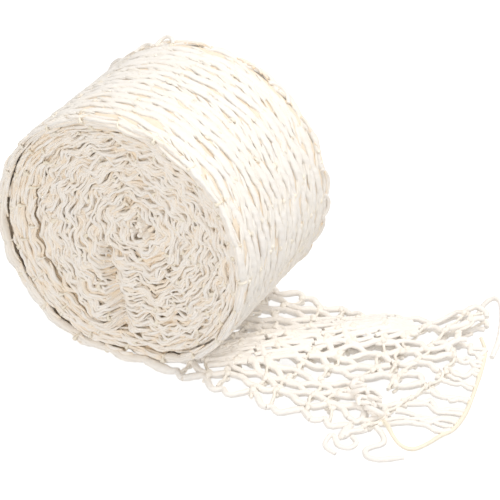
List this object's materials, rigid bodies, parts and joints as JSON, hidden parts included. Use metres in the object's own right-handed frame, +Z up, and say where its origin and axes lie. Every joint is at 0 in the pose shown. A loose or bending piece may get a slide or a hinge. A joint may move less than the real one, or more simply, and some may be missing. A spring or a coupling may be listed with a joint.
{
  "type": "rolled tubular net",
  "caption": "Roll of soft white cotton tube net, wound flat in many turns, with its loose open end lying on the floor and flexing at bending lines.",
  "frame": {"origin": "on the floor under the middle of the roll, at the centre of its flattened underside", "axes": "+X the way the loose end runs, +Y along the roll's axis away from the recessed front face, +Z up"},
  "size_m": [0.1751, 0.1105, 0.0993],
  "materials": {
    "net_yarn": "soft matte unbleached cotton strands",
    "ring_thread": "thin ivory cotton thread, matte"
  },
  "bodies": {
    "roll": {"winding_turn_10": "net_yarn", "winding_turn_11": "net_yarn", "winding_turn_12": "net_yarn", "winding_turn_13": "net_yarn", "winding_turn_14": "net_yarn"},
    "middle_winding": {"winding_turn_06": "net_yarn", "winding_turn_07": "net_yarn", "winding_turn_08": "net_yarn", "winding_turn_09": "net_yarn"},
    "inner_winding": {"winding_turn_03": "net_yarn", "winding_turn_04": "net_yarn", "winding_turn_05": "net_yarn"},
    "core_winding": {"core_wad": "net_yarn", "winding_turn_01": "net_yarn", "winding_turn_02": "net_yarn"},
    "tail_1": {"tail_net_1": "net_yarn"},
    "tail_2": {"tail_net_2": "net_yarn"},
    "tail_3": {"tail_net_3": "net_yarn"},
    "tail_4": {"tail_net_4": "net_yarn"},
    "mouth": {"mouth_root": "net_yarn", "mouth_lower_layer": "net_yarn", "pulled_ring_thread": "ring_thread", "ear_loop_strand": "net_yarn", "cut_strand_front": "net_yarn", "cut_strand_side": "net_yarn"},
    "mouth_upper": {"mouth_upper_layer": "net_yarn"}
  },
  "joints": [
    {"name": "middle_winding_push", "type": "slide", "parent": "roll", "child": "middle_winding", "axis": [0, -1, 0], "range_m": [-0.006, 0.006]},
    {"name": "inner_winding_push", "type": "slide", "parent": "middle_winding", "child": "inner_winding", "axis": [0, -1, 0], "range_m": [-0.006, 0.006]},
    {"name": "core_winding_push", "type": "slide", "parent": "inner_winding", "child": "core_winding", "axis": [0, -1, 0], "range_m": [-0.006, 0.006]},
    {"name": "tail_bend_1", "type": "hinge", "parent": "roll", "child": "tail_1", "pos_m": [0.01778, 0, 0.0028], "axis": [0, -1, 0], "range_deg": [0, 14]},
    {"name": "tail_bend_2", "type": "hinge", "parent": "tail_1", "child": "tail_2", "pos_m": [0.03479, 0, 0.007], "axis": [0, -1, 0], "range_deg": [0, 18]},
    {"name": "tail_bend_3", "type": "hinge", "parent": "tail_2", "child": "tail_3", "pos_m": [0.05178, 0, 0.007], "axis": [0, -1, 0], "range_deg": [0, 18]},
    {"name": "tail_bend_4", "type": "hinge", "parent": "tail_3", "child": "tail_4", "pos_m": [0.06878, 0, 0.007], "axis": [0, -1, 0], "range_deg": [0, 18]},
    {"name": "mouth_bend", "type": "hinge", "parent": "tail_4", "child": "mouth", "pos_m": [0.08579, 0, 0.007], "axis": [0, -1, 0], "range_deg": [0, 20]},
    {"name": "mouth_opening", "type": "hinge", "parent": "mouth", "child": "mouth_upper", "pos_m": [0.09029, 0, 0.0028], "axis": [0, -1, 0], "range_deg": [0, 30]}
  ]
}
